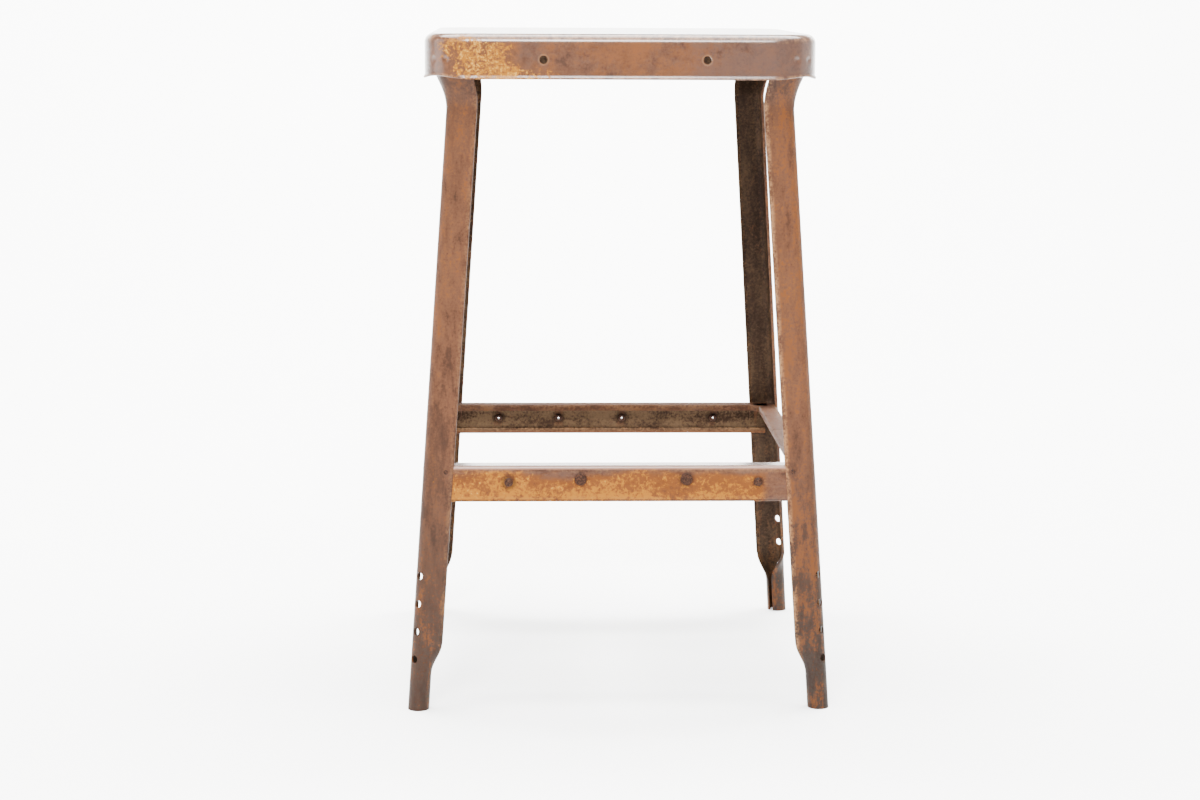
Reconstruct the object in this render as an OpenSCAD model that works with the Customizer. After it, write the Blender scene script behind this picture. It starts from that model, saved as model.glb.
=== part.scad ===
// Pressed-steel bar stool with a square seat pan, four folded sheet legs and a ring of four foot rails.
// Millimetres, Z up, X to the right, Y to the rear, origin on the floor under the middle of the seat.

/* [Stool] */
// Height of the seat's top edge above the floor
stool_h = 609.6; // [560:0.1:640]
// How far each leg face moves outward per millimetre of drop
splay = 0.0678; // [0.05:0.0001:0.08]
// Distance from the middle to the outer leg face at the floor
base_half = 192.5; // [186:0.1:196]

/* [Seat pan] */
// Outer width of the square seat
seat_w = 350.2; // [346:0.1:354]
// Depth of the skirt below the seat's top edge
apron_h = 40; // [34:0.1:44]
// Plan radius of the seat corners
seat_corner_r = 41; // [40:0.1:44]
// Radius of the rolled top edge
seat_edge_r = 8.5; // [6:0.1:10]
// Thickness of the seat sheet
seat_t = 1.2; // [1:0.1:1.4]
// Diameter of the two holes in the front skirt
apron_hole_d = 7.3; // [5:0.1:9]
// Centre distance of the two holes in the front skirt
apron_hole_pitch = 144.5; // [120:0.5:170]
// Sideways offset of that pair of holes
apron_hole_shift = 3; // [-5:0.1:5]
// Drop of the holes below the seat's top edge
apron_hole_drop = 22.7; // [18:0.1:28]

/* [Legs] */
// Thickness of the leg sheet
leg_t = 1.5; // [1.2:0.1:1.8]
// Face width of each leg flange
flange_w = 27.8; // [25:0.1:29]
// Outer radius of the leg's corner bend
leg_corner_r = 9.5; // [8:0.1:11]
// Outer radius of the rolled lips
lip_r = 3; // [2.6:0.1:3.4]
// Flat length of the lip past its bend
lip_flat = 0.3; // [0.2:0.1:2]
// Height where the foot tube starts to open
foot_h = 32; // [24:1:38]
// Height where the leg is fully open to an angle
foot_open_h = 67; // [56:1:74]
// Height where the leg's flanges start to open towards the seat corner
flare_z = 540; // [520:1:546]
// Bend kept at the leg's crease, each side, where it meets the seat
crease_turn = 16; // [8:1:24]
// Diameter of the holes through the leg corner
leg_hole_d = 7.1; // [5:0.1:8]
// Height of the lowest leg hole
leg_hole_z = 47.2; // [45:0.1:60]
// Centre distance of the leg holes
leg_hole_pitch = 25.4; // [24:0.1:28]

/* [Rails] */
// Height of the rails' top face above the floor
rail_top_z = 223.6; // [200:0.1:260]
// Height of a rail's outer web
rail_h = 32.7; // [26:0.1:36]
// Thickness of the rail sheet
rail_t = 1.5; // [1.2:0.1:1.8]
// Width of a rail's top flange
rail_flange_w = 19; // [16:0.1:22]
// Outer radius of a rail's bends
rail_bend_r = 2.6; // [2.2:0.1:3]
// Height of the turned-down lip
rail_lip_h = 6; // [5:0.1:8]
// Height of the folded hem along the bottom edge
hem_h = 6; // [5:0.1:8]
// Plan radius of the leg and rail corner clearance
rail_end_gap = 10.5; // [10:0.1:13]

/* [Fasteners] */
// Head diameter of the domed rivets in the front rail
dome_d = 8; // [7:0.1:9]
// Head height of the domed rivets
dome_h = 2; // [1.5:0.1:2.5]
// Shank diameter of the domed rivets
shank_d = 4.8; // [4:0.1:5.5]
// Centre distance of the domed rivets
dome_pitch = 225.8; // [210:0.1:235]
// Head diameter of the flat plugs in the front rail
plug_d = 11; // [9:0.1:12]
// Head height of the flat plugs
plug_h = 0.9; // [0.6:0.1:1.2]
// Centre distance of the flat plugs
plug_pitch = 95.8; // [85:0.1:105]
// Sideways offset of the front rail's fasteners
front_shift = 12.5; // [0:0.1:15]
// Outer diameter of the tubular rivets in the rear rail
tube_rivet_d = 6; // [5:0.1:7]
// Bore of the tubular rivets
tube_rivet_bore = 2.2; // [1.5:0.1:3]
// Head diameter of the flush rivets that join rails to legs
joint_head_d = 4.4; // [4:0.1:4.6]
// Shank diameter of the flush rivets that join rails to legs
joint_shank_d = 3.6; // [3:0.1:3.8]
// Distance of those rivets from the leg's outer corner
joint_in = 20.8; // [18:0.1:21]
// Drop of those rivets below the rails' top face
joint_drop = 5.3; // [5.3:0.1:20]

/* [Hidden] */
$fn = 72;

gap = 0.05;
over = 1;
paint = [0.50, 0.36, 0.30];
rust = [0.66, 0.42, 0.26];
dark = [0.22, 0.15, 0.12];

seat_half = seat_w / 2;
corner_c = seat_half - seat_corner_r;
hem_out = 1;
hem_z = 1.8;

// outer leg face at a height, and the outer web face of a rail behind it
function leg_face(z) = base_half - splay * z;
function web_face(z) = leg_face(z) - leg_t - gap;

// mid-surface radii of the folded strip, and its half developed width
mid_corner = leg_corner_r - leg_t / 2;
mid_lip = lip_r - leg_t / 2;
run_corner = mid_corner * PI / 4;
run_flat = flange_w - leg_corner_r - lip_r;
run_lip = mid_lip * PI / 2;
half_dev = run_corner + run_flat + run_lip + lip_flat;

// stations along half of the strip, closer together in the bends
corner_steps = 4;
flat_steps = 5;
lip_steps = 3;
half_s = concat([for (i = [0:corner_steps - 1]) run_corner * i / corner_steps],
                [for (i = [0:flat_steps - 1]) run_corner + run_flat * i / flat_steps],
                [for (i = [0:lip_steps]) run_corner + run_flat + run_lip * i / lip_steps],
                [half_dev]);
half_n = len(half_s) - 1;
strip_s = concat([for (i = [half_n:-1:1]) -half_s[i]], half_s);
strip_n = len(strip_s);

// turning of the strip, in degrees from its middle, for the lipped angle and for a plain arc
function angle_turn(s) =
    s <= run_corner ? 45 * s / run_corner
    : s <= run_corner + run_flat ? 45
    : s <= run_corner + run_flat + run_lip ? 45 + 90 * (s - run_corner - run_flat) / run_lip
    : 135;
function arc_turn(s, total) = total * s / half_dev;
function creased_turn(s) =
    crease_turn * min(s / run_corner, 1) + arc_turn(s, top_turn - crease_turn);
foot_turn = 167;
top_r = seat_corner_r - seat_t - gap;
top_stretch = 1.1;
top_turn = half_dev * top_stretch / (top_r - leg_t / 2) * 180 / PI;
foot_mid_r = half_dev / (foot_turn * PI / 180);
foot_r = foot_mid_r + leg_t / 2;

// share of foot tube, of lipped angle and of seat arc at a height
leg_top_z = stool_h - seat_t - seat_edge_r;
full_z = stool_h - 17.6;
function smooth(t) = t <= 0 ? 0 : t >= 1 ? 1 : t * t * (3 - 2 * t);
function foot_share(z) = 1 - smooth((z - foot_h) / (foot_open_h - foot_h));
function seat_share(z) = smooth((z - flare_z) / (full_z - flare_z));
function mixed(s, z) =
    let (f = foot_share(z), t = seat_share(z), a = abs(s), g = sign(s))
    g * (f * arc_turn(a, foot_turn) + t * creased_turn(a) + (1 - f - t) * angle_turn(a));

// diagonal distance from the middle to the strip's mid-surface
function strip_u(z) =
    let (f = foot_share(z), t = seat_share(z), o = leg_face(z))
    f * ((o - foot_r) * sqrt(2) + foot_r - leg_t / 2)
    + t * (corner_c * sqrt(2) + top_r - leg_t / 2)
    + (1 - f - t) * ((o - leg_corner_r) * sqrt(2) + leg_corner_r - leg_t / 2);

// mid-line of half a strip, walked outward from the diagonal: [u, v] pairs
function walk(z, stretch) =
    [for (i = 0, u = strip_u(z), v = 0; i <= half_n;
          h = i < half_n ? mixed((half_s[i] + half_s[i + 1]) / 2, z) : 0,
          d = i < half_n ? (half_s[i + 1] - half_s[i]) * stretch : 0,
          u = u - d * sin(h), v = v + d * cos(h), i = i + 1) [u, v]];
function both(w) = concat([for (i = [half_n:-1:1]) [w[i][0], -w[i][1]]], w);
function offset_line(w, z, d) =
    [for (i = [0:strip_n - 1])
        let (h = mixed(strip_s[i], z)) [w[i][0] + d * cos(h), w[i][1] + d * sin(h)]];
function ring(z) =
    let (w = both(walk(z, 1 + (top_stretch - 1) * seat_share(z))),
         outer = offset_line(w, z, leg_t / 2),
         inner = offset_line(w, z, -leg_t / 2))
    [for (p = concat(outer, [for (i = [strip_n - 1:-1:0]) inner[i]]))
        [(p[0] + p[1]) / sqrt(2), (p[0] - p[1]) / sqrt(2), z]];

foot_steps = 9;
flare_steps = 11;
levels = concat([0], [for (i = [0:foot_steps]) foot_h + (foot_open_h - foot_h) * i / foot_steps],
                [for (i = [0:flare_steps]) flare_z + (full_z - flare_z) * i / flare_steps],
                [leg_top_z]);
ring_n = 2 * strip_n;
level_n = len(levels);

module leg_sheet() {
    points = [for (z = levels) each ring(z)];
    last = (level_n - 1) * ring_n;
    sides = [for (k = [0:level_n - 2], i = [0:ring_n - 1])
        let (a = k * ring_n + i, b = k * ring_n + (i + 1) % ring_n)
        each [[a, b, b + ring_n], [a, b + ring_n, a + ring_n]]];
    ends = [for (i = [0:strip_n - 2])
        let (a = i, b = i + 1, c = ring_n - 2 - i, d = ring_n - 1 - i)
        each [[a, c, b], [a, d, c], [last + a, last + b, last + c], [last + a, last + c, last + d]]];
    polyhedron(points = points, faces = concat(sides, ends), convexity = 10);
}

joint_z = rail_top_z - joint_drop;
tilt = atan(splay);

// one joint axis: at the leg's face, pointing outward along +Y
module joint_axis() {
    translate([leg_face(joint_z) - joint_in, leg_face(joint_z), joint_z])
        rotate([-90 + tilt, 0, 0])
            children();
}
module both_faces() {
    children();
    mirror([1, -1, 0]) children();
}

lip_clear = 0.2;
module lip_notch() {
    drop = rail_h + 2 * lip_clear;
    slope_in = splay * drop;
    z0 = rail_top_z - rail_h - lip_clear;
    o = web_face(z0) + lip_clear / 4;
    translate([leg_face(z0) - flange_w - over, 0, 0])
        rotate([90, 0, 90])
            linear_extrude(height = 2 * lip_r + over)
                polygon([[o - 2 * lip_r, z0], [o, z0], [o - slope_in, z0 + drop],
                         [o - slope_in - 2 * lip_r, z0 + drop]]);
}

module leg() {
    difference() {
        leg_sheet();
        for (i = [0:3]) {
            z = leg_hole_z + i * leg_hole_pitch;
            rotate([0, 0, 45])
                translate([strip_u(z) - 2 * leg_corner_r / 3, 0, z])
                    rotate([0, 90, 0])
                        cylinder(d = leg_hole_d, h = 2 * leg_corner_r);
        }
        both_faces() {
            lip_notch();
            joint_axis()
                translate([0, 0, -leg_t - over])
                    cylinder(d = joint_shank_d, h = leg_t + 2 * over);
        }
    }
}

// closed outline of a folded rail: [distance inward from the web's outer face, height below the top]
arc_steps = 5;
function arc_pts(c, r, a0, a1) =
    [for (i = [0:arc_steps]) let (a = a0 + (a1 - a0) * i / arc_steps) [c[0] + r * cos(a), c[1] + r * sin(a)]];
rail_in_r = rail_bend_r - rail_t;
hem_gap = 0.4;
hem_r = rail_t + hem_gap / 2;
rail_outline = concat(
    arc_pts([rail_bend_r, -rail_bend_r], rail_bend_r, 180, 90),
    arc_pts([rail_flange_w - rail_bend_r, -rail_bend_r], rail_bend_r, 90, 0),
    [[rail_flange_w, -rail_lip_h], [rail_flange_w - rail_t, -rail_lip_h]],
    arc_pts([rail_flange_w - rail_bend_r, -rail_bend_r], rail_in_r, 0, 90),
    arc_pts([rail_bend_r, -rail_bend_r], rail_in_r, 90, 180),
    [[rail_t, -rail_h + hem_r]],
    arc_pts([hem_r, -rail_h + hem_r], hem_gap / 2, 180, 360),
    [[rail_t + hem_gap, -rail_h + hem_h], [2 * rail_t + hem_gap, -rail_h + hem_h]],
    arc_pts([hem_r, -rail_h + hem_r], hem_r, 360, 180));

// rail along X on the +Y side, web leaning with the legs, ends mitred to the neighbouring rails
module rail() {
    reach = web_face(rail_top_z);
    end_x = leg_face(rail_top_z) - rail_end_gap;
    mitre = 0.3;
    inner = reach - rail_flange_w - hem_h;
    difference() {
        intersection() {
            translate([-end_x, 0, rail_top_z])
                rotate([90, 0, 90])
                    linear_extrude(height = 2 * end_x)
                        polygon([for (p = rail_outline) [reach - p[0] - splay * p[1], p[1]]]);
            translate([0, 0, rail_top_z - rail_h - over])
                linear_extrude(height = rail_h + 2 * over)
                    polygon([[mitre - inner, inner], [inner - mitre, inner],
                             [reach + 2 * hem_h - mitre, reach + 2 * hem_h],
                             [mitre - reach - 2 * hem_h, reach + 2 * hem_h]]);
        }
        for (side = [0, 1])
            mirror([side, 0, 0])
                joint_axis()
                    translate([0, 0, -leg_t - rail_t - over])
                        cylinder(d = joint_shank_d, h = rail_t + 2 * over);
    }
}

// axis square to a rail's web at a place along it, on the +Y side, with zero on the web's outer face
module web_axis(x, z) {
    translate([x, web_face(z), z])
        rotate([-90 + tilt, 0, 0])
            children();
}

front_z = rail_top_z - 14.8;
plug_z = rail_top_z - 12.3;
rear_z = rail_top_z - 16;
function front_x(pitch) = [front_shift - pitch / 2, front_shift + pitch / 2];
rear_x = [-111.6, -49.4, 16.5, 111.6];
plug_shank_d = 8;
slit_y = 12;
slit_w = 1;
slit_l = 9;

// profile across the seat's edge: [distance inward from the skirt face, height below the top]
edge_in_r = seat_edge_r - seat_t;
function back(list) = [for (i = [len(list) - 1:-1:0]) list[i]];
rim_w = seat_corner_r - 5;
edge_steps = 8;
function edge_arc(r) =
    [for (i = [0:edge_steps])
        let (a = 180 - 90 * i / edge_steps) [seat_edge_r + r * cos(a), -seat_edge_r + r * sin(a)]];
edge_outline = concat(
    [[-hem_out, -apron_h], [-hem_out, -apron_h + hem_z / 2], [0, -apron_h + hem_z]],
    edge_arc(seat_edge_r), [[rim_w, 0], [rim_w, -seat_t]], back(edge_arc(edge_in_r)),
    [[seat_t, -apron_h]]);

module seat_edges() {
    for (q = [0:3])
        rotate([0, 0, 90 * q]) {
            translate([-corner_c, 0, stool_h])
                rotate([90, 0, 90])
                    linear_extrude(height = 2 * corner_c)
                        polygon([for (p = edge_outline) [seat_half - p[0], p[1]]]);
            translate([corner_c, corner_c, stool_h])
                rotate_extrude(angle = 90)
                    polygon([for (p = edge_outline) [seat_corner_r - p[0], p[1]]]);
        }
}

module seat_pan() {
    floor_half = seat_half - rim_w + over / 2;
    color(paint)
        difference() {
            union() {
                seat_edges();
                translate([-floor_half, -floor_half, stool_h - seat_t])
                    cube([2 * floor_half, 2 * floor_half, seat_t]);
            }
            for (side = [-1, 1])
                translate([apron_hole_shift + side * apron_hole_pitch / 2, -seat_half + seat_t + over,
                           stool_h - apron_hole_drop])
                    rotate([90, 0, 0])
                        cylinder(d = apron_hole_d, h = seat_t + 2 * over);
        }
}

module leg_front_left() {
    color(paint) mirror([0, 1, 0]) mirror([1, 0, 0]) leg();
}
module leg_front_right() {
    color(paint) mirror([0, 1, 0]) leg();
}
module leg_rear_left() {
    color(paint) mirror([1, 0, 0]) leg();
}
module leg_rear_right() {
    color(paint) leg();
}

module rail_front() {
    color(rust)
        mirror([0, 1, 0])
            difference() {
                rail();
                for (x = front_x(dome_pitch))
                    web_axis(x, front_z)
                        translate([0, 0, -rail_t - over])
                            cylinder(d = shank_d, h = rail_t + 2 * over);
                for (x = front_x(plug_pitch))
                    web_axis(x, plug_z)
                        translate([0, 0, -rail_t - over])
                            cylinder(d = plug_shank_d, h = rail_t + 2 * over);
            }
}
module rail_rear() {
    color(paint)
        difference() {
            rail();
            for (x = rear_x)
                web_axis(x, rear_z)
                    translate([0, 0, -rail_t - over])
                        cylinder(d = tube_rivet_d, h = rail_t + 2 * over);
        }
}
module rail_left() {
    color(paint) rotate([0, 0, 90]) rail();
}
module rail_right() {
    color(paint)
        difference() {
            rotate([0, 0, -90]) rail();
            translate([web_face(rail_top_z) - rail_flange_w - over, slit_y - slit_w / 2,
                       rail_top_z - rail_lip_h / 2])
                cube([slit_l + over, slit_w, rail_lip_h]);
        }
}

// rivet with a domed head outside and a low set tail inside, along its own axis
module domed_rivet(head_d, head_h, pin_d, grip) {
    ball_r = (head_h * head_h + head_d * head_d / 4) / (2 * head_h);
    tail_h = 1.4;
    tail_grow = 1.35;
    fit = 0.04;
    translate([0, 0, gap])
        intersection() {
            translate([0, 0, head_h - ball_r])
                sphere(r = ball_r);
            cylinder(d = head_d + over, h = head_h + over);
        }
    translate([0, 0, -grip - gap - tail_h / 2])
        cylinder(d = pin_d - fit, h = grip + 2 * gap + tail_h / 2 + head_h / 4);
    translate([0, 0, -grip - gap - tail_h])
        cylinder(d1 = pin_d * (1 + tail_grow) / 2, d2 = pin_d * tail_grow, h = tail_h);
}

module front_rail_rivets() {
    color(dark)
        mirror([0, 1, 0])
            for (x = front_x(dome_pitch))
                web_axis(x, front_z)
                    domed_rivet(dome_d, dome_h, shank_d, rail_t);
}
module front_rail_plugs() {
    fit = 0.04;
    tail_h = 1.2;
    color(dark)
        mirror([0, 1, 0])
            for (x = front_x(plug_pitch))
                web_axis(x, plug_z) {
                    translate([0, 0, gap])
                        cylinder(d1 = plug_d, d2 = plug_d - 1.4, h = plug_h);
                    translate([0, 0, -rail_t - gap - tail_h / 2])
                        cylinder(d = plug_shank_d - fit, h = rail_t + 2 * gap + tail_h / 2 + plug_h / 2);
                    translate([0, 0, -rail_t - gap - tail_h])
                        cylinder(d1 = plug_shank_d, d2 = plug_shank_d + 1.6, h = tail_h);
                }
}
module rear_rail_rivets() {
    fit = 0.04;
    head_h = 1.1;
    tail_l = 3.2;
    color(dark)
        for (x = rear_x)
            web_axis(x, rear_z)
                difference() {
                    union() {
                        translate([0, 0, gap])
                            cylinder(d1 = tube_rivet_d + 3, d2 = tube_rivet_d + 1.6, h = head_h);
                        translate([0, 0, -rail_t - gap - tail_l])
                            cylinder(d = tube_rivet_d - fit, h = rail_t + 2 * gap + tail_l + head_h / 2);
                        translate([0, 0, -rail_t - gap - tail_l / 2])
                            cylinder(d1 = tube_rivet_d, d2 = tube_rivet_d + 1.6, h = tail_l / 2);
                    }
                    translate([0, 0, -rail_t - tail_l - over])
                        cylinder(d = tube_rivet_bore, h = rail_t + tail_l + head_h + 3 * over);
                }
}

module joint_rivets() {
    color(dark)
        both_faces()
            joint_axis()
                domed_rivet(joint_head_d, 0.5, joint_shank_d, leg_t + rail_t + gap);
}
module joint_rivets_front_left() {
    mirror([0, 1, 0]) mirror([1, 0, 0]) joint_rivets();
}
module joint_rivets_front_right() {
    mirror([0, 1, 0]) joint_rivets();
}
module joint_rivets_rear_left() {
    mirror([1, 0, 0]) joint_rivets();
}
module joint_rivets_rear_right() {
    joint_rivets();
}

seat_pan();
leg_front_left();
leg_front_right();
leg_rear_left();
leg_rear_right();
rail_front();
rail_rear();
rail_left();
rail_right();
front_rail_rivets();
front_rail_plugs();
rear_rail_rivets();
joint_rivets_front_left();
joint_rivets_front_right();
joint_rivets_rear_left();
joint_rivets_rear_right();
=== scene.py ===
"""Looks for the pressed-steel bar stool: seat pan, folded legs, foot rails and rivets, in old paint."""

import math

import bmesh
import bpy
from mathutils import Matrix, Vector

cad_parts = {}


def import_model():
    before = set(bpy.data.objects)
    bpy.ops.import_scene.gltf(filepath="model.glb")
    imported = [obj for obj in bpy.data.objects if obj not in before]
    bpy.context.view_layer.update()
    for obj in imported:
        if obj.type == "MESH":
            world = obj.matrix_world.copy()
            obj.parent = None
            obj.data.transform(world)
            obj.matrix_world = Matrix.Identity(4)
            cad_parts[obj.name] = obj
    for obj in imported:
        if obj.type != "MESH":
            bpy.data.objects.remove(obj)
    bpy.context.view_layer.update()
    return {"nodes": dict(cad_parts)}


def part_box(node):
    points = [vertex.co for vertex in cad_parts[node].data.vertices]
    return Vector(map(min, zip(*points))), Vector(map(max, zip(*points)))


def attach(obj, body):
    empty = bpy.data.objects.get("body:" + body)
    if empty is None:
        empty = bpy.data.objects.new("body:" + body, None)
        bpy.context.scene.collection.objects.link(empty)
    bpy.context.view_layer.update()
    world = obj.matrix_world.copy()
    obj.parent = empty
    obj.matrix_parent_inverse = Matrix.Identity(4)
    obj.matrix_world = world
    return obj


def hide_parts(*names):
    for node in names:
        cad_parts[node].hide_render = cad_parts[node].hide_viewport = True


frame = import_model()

MM = 0.001
BODY = "root"
SHARP_DEGREES = 32
PUNCH_DEPTH = 12 * MM

# ---------------------------------------------------------------- sizes, from the frame where it has them

seat_lo, seat_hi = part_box("seat_pan")
leg_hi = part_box("leg_rear_right")[1]
rail_lo, rail_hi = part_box("rail_rear")

STOOL_H = seat_hi[2]
HEM_OUT = 1.0 * MM
SEAT_HALF = seat_hi[0] - HEM_OUT
APRON_H = seat_hi[2] - seat_lo[2]
SEAT_T = 1.2 * MM
SEAT_CORNER_R = 41 * MM
SEAT_EDGE_R = 8.5 * MM
SEAT_FLAT = 36 * MM
SKIRT_LOW = APRON_H - 3.2 * MM
CORNER_C = SEAT_HALF - SEAT_CORNER_R
CORNER_RISE = 2.6 * MM
APRON_HOLE_R = 3.65 * MM
APRON_HOLE_Z = STOOL_H - 22.7 * MM
APRON_HOLE_X = (-69.25 * MM, 75.25 * MM)

SPLAY = 0.0678
BASE_HALF = leg_hi[0]
LEG_T = 1.5 * MM
FLANGE_W = 27.8 * MM
LEG_CORNER_R = 9.5 * MM
LIP_R = 3 * MM
LIP_FLAT = 0.3 * MM
FOOT_H = 32 * MM
FOOT_OPEN_H = 67 * MM
FLARE_Z = 540 * MM
LEG_TOP = leg_hi[2]
FULL_Z = STOOL_H - 17.6 * MM
CREASE_TURN = 16.0
LEG_HOLE_R = 3.55 * MM
LEG_HOLE_Z = 47.2 * MM
LEG_HOLE_PITCH = 25.4 * MM
LEG_HOLES = 4

RAIL_TOP = rail_hi[2]
RAIL_H = rail_hi[2] - rail_lo[2]
RAIL_T = 1.5 * MM
RAIL_FLANGE_W = 19 * MM
RAIL_BEND_R = 2.6 * MM
RAIL_LIP_H = 6 * MM
RAIL_CORNER_R = 9 * MM
RAIL_END = rail_hi[0]
HEM_H = 6 * MM
HEM_GAP = 0.4 * MM
GAP = 0.05 * MM
JOINT_IN = 20.8 * MM
JOINT_Z = RAIL_TOP - 5.3 * MM
JOINT_R = 1.8 * MM
MITRE_GAP = 0.3 * MM
MITRE_ROUNDS = 12
JOINT_LEG_DEPTH = 9 * MM
JOINT_RAIL_DEPTH = 14 * MM
LIP_BEVEL = 0.4 * MM
HEM_BEVEL = 0.3 * MM

FRONT_SHIFT = 12.5 * MM
DOME_X = (FRONT_SHIFT - 112.9 * MM, FRONT_SHIFT + 112.9 * MM)
DOME_Z = RAIL_TOP - 14.8 * MM
DOME_PIN_R = 2.4 * MM
PLUG_X = (FRONT_SHIFT - 47.9 * MM, FRONT_SHIFT + 47.9 * MM)
PLUG_Z = RAIL_TOP - 12.3 * MM
PLUG_PIN_R = 4 * MM
REAR_X = (-111.6 * MM, -49.4 * MM, 16.5 * MM, 111.6 * MM)
REAR_Z = RAIL_TOP - 16 * MM
REAR_PIN_R = 3 * MM
SLIT_X = 12 * MM
SLIT_L = 9 * MM
SLIT_W = 1 * MM
FRONT_RIVET_DARKENING = ((DOME_X[0], DOME_Z, 9 * MM), (PLUG_X[0], PLUG_Z, 8 * MM),
                (PLUG_X[1], PLUG_Z, 9 * MM), (DOME_X[1], DOME_Z, 7 * MM))


def leg_face(z):
    """Distance of a leg's outer face from the middle plane at a height."""
    return BASE_HALF - SPLAY * z


def web_face(z):
    """The same for the outer face of a rail's web, which lies behind the leg flange."""
    return leg_face(z) - LEG_T - GAP


def smooth(t):
    t = min(max(t, 0.0), 1.0)
    return t * t * (3 - 2 * t)


# ---------------------------------------------------------------- mesh helpers


def build(name, verts, faces, marks):
    """A smooth-shaded mesh object with one float attribute per entry of marks."""
    mesh = bpy.data.meshes.new(name)
    mesh.from_pydata(verts, [], faces)
    for mark, values in marks.items():
        mesh.attributes.new(mark, "FLOAT", "POINT").data.foreach_set("value", values)
    work = bmesh.new()
    work.from_mesh(mesh)
    bmesh.ops.recalc_face_normals(work, faces=work.faces)
    work.to_mesh(mesh)
    work.free()
    piece = bpy.data.objects.new(name, mesh)
    bpy.context.scene.collection.objects.link(piece)
    finish_shading(mesh)
    return piece


def finish_shading(mesh):
    mesh.shade_smooth()
    mesh.set_sharp_from_angle(angle=math.radians(SHARP_DEGREES))


def band_faces(rings, size):
    """Faces between each ring of points and the next, closed all the way round."""
    faces = []
    for k in range(rings - 1):
        for i in range(size):
            j = (i + 1) % size
            faces.append((k * size + i, k * size + j, (k + 1) * size + j, (k + 1) * size + i))
    return faces


def cutter_round(place, axis, radius, depth=PUNCH_DEPTH):
    """A round punch centred on a place, along an axis."""
    work = bmesh.new()
    turn = Vector((0, 0, 1)).rotation_difference(Vector(axis).normalized()).to_matrix().to_4x4()
    bmesh.ops.create_cone(work, cap_ends=True, segments=48, radius1=radius, radius2=radius,
                          depth=depth, matrix=Matrix.Translation(place) @ turn)
    return work


def cutter_block(corners):
    """A six-sided punch from its eight corners: four below, then the four above them."""
    work = bmesh.new()
    verts = [work.verts.new(c) for c in corners]
    for face in ((0, 1, 2, 3), (7, 6, 5, 4), (0, 4, 5, 1), (1, 5, 6, 2), (2, 6, 7, 3), (3, 7, 4, 0)):
        work.faces.new([verts[i] for i in face])
    bmesh.ops.recalc_face_normals(work, faces=work.faces)
    return work


def punch(piece, cutters):
    """Cuts every punch out of the piece and leaves a plain mesh."""
    joined = bpy.data.meshes.new("punch")
    whole = bmesh.new()
    for work in cutters:
        part = bpy.data.meshes.new("punch_part")
        work.to_mesh(part)
        work.free()
        whole.from_mesh(part)
        bpy.data.meshes.remove(part)
    whole.to_mesh(joined)
    whole.free()
    tool = bpy.data.objects.new("punch", joined)
    bpy.context.scene.collection.objects.link(tool)
    cut = piece.modifiers.new("cut", "BOOLEAN")
    cut.operation = "DIFFERENCE"
    cut.solver = "EXACT"
    cut.object = tool
    graph = bpy.context.evaluated_depsgraph_get()
    done = bpy.data.meshes.new_from_object(piece.evaluated_get(graph))
    piece.modifiers.clear()
    old = piece.data
    piece.data = done
    bpy.data.meshes.remove(old)
    bpy.data.objects.remove(tool)
    bpy.data.meshes.remove(joined)
    done.name = piece.name
    finish_shading(done)


def arc(cx, cy, r, start, end, steps):
    """Points along an arc, angles in degrees."""
    turns = [math.radians(start + (end - start) * i / steps) for i in range(steps + 1)]
    return [(cx + r * math.cos(a), cy + r * math.sin(a)) for a in turns]


# ---------------------------------------------------------------- seat pan


def seat_stations(corner_steps=40, edge_steps=44):
    """Stations round the plan: arc centre, outward direction, and how near to a corner's middle."""
    stations = []
    for quarter in range(4):
        turn = Matrix.Rotation(math.radians(90 * quarter), 2)
        for i in range(edge_steps):
            along = -CORNER_C + 2 * CORNER_C * i / edge_steps
            stations.append((turn @ Vector((CORNER_C, along)), turn @ Vector((1, 0)), 0.0))
        for i in range(corner_steps):
            share = i / corner_steps
            a = math.radians(90 * share)
            near = math.sin(math.pi * share) ** 2
            out = turn @ Vector((math.cos(a), math.sin(a)))
            stations.append((turn @ Vector((CORNER_C, CORNER_C)), out, near))
    return stations


def seat_profile():
    """Section of the pan, from the flat top outward, round the hem and back inside.

    Each point holds its inward distance, its drop, how pale it is painted for wear and painted highlight, and
    whether it is inside.
    """
    flat = [(SEAT_FLAT + (SEAT_EDGE_R - SEAT_FLAT) * i / 8, 0.0) for i in range(8)]
    over = arc(SEAT_EDGE_R, SEAT_EDGE_R, SEAT_EDGE_R, 270, 180, 12)
    under = arc(SEAT_EDGE_R, SEAT_EDGE_R, SEAT_EDGE_R - SEAT_T, 180, 270, 12)
    hem_r = (HEM_OUT + SEAT_T) / 2
    hem = arc(hem_r - HEM_OUT, APRON_H - hem_r, hem_r, 200, 0, 10)
    skirt = [(0.0, SEAT_EDGE_R + (SKIRT_LOW - SEAT_EDGE_R) * i / 20) for i in range(1, 21)]
    back = [(SEAT_T, SKIRT_LOW + (SEAT_EDGE_R - SKIRT_LOW) * i / 8) for i in range(9)]
    points = []
    points += [(d, z, 0.0, 0.0) for d, z in flat]
    points += [(d, z, math.sin(math.pi * i / 12), 0.0) for i, (d, z) in enumerate(over)]
    points += [(d, z, 0.0, 0.0) for d, z in skirt]
    points += [(d, z, 1.0 if i < 7 else 0.3, 0.0 if i < 7 else 1.0) for i, (d, z) in enumerate(hem)]
    points += [(d, z, 0.0, 1.0) for d, z in back]
    points += [(d, z, 0.0, 1.0) for d, z in under[1:]]
    points += [(d, z + SEAT_T, 0.0, 1.0) for d, z in reversed(flat)]
    return points


DIMPLE_R = 2.6 * MM
DIMPLE_DEPTH = 0.7 * MM
DIMPLE_TURNS = (38.0, 59.0)


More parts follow.
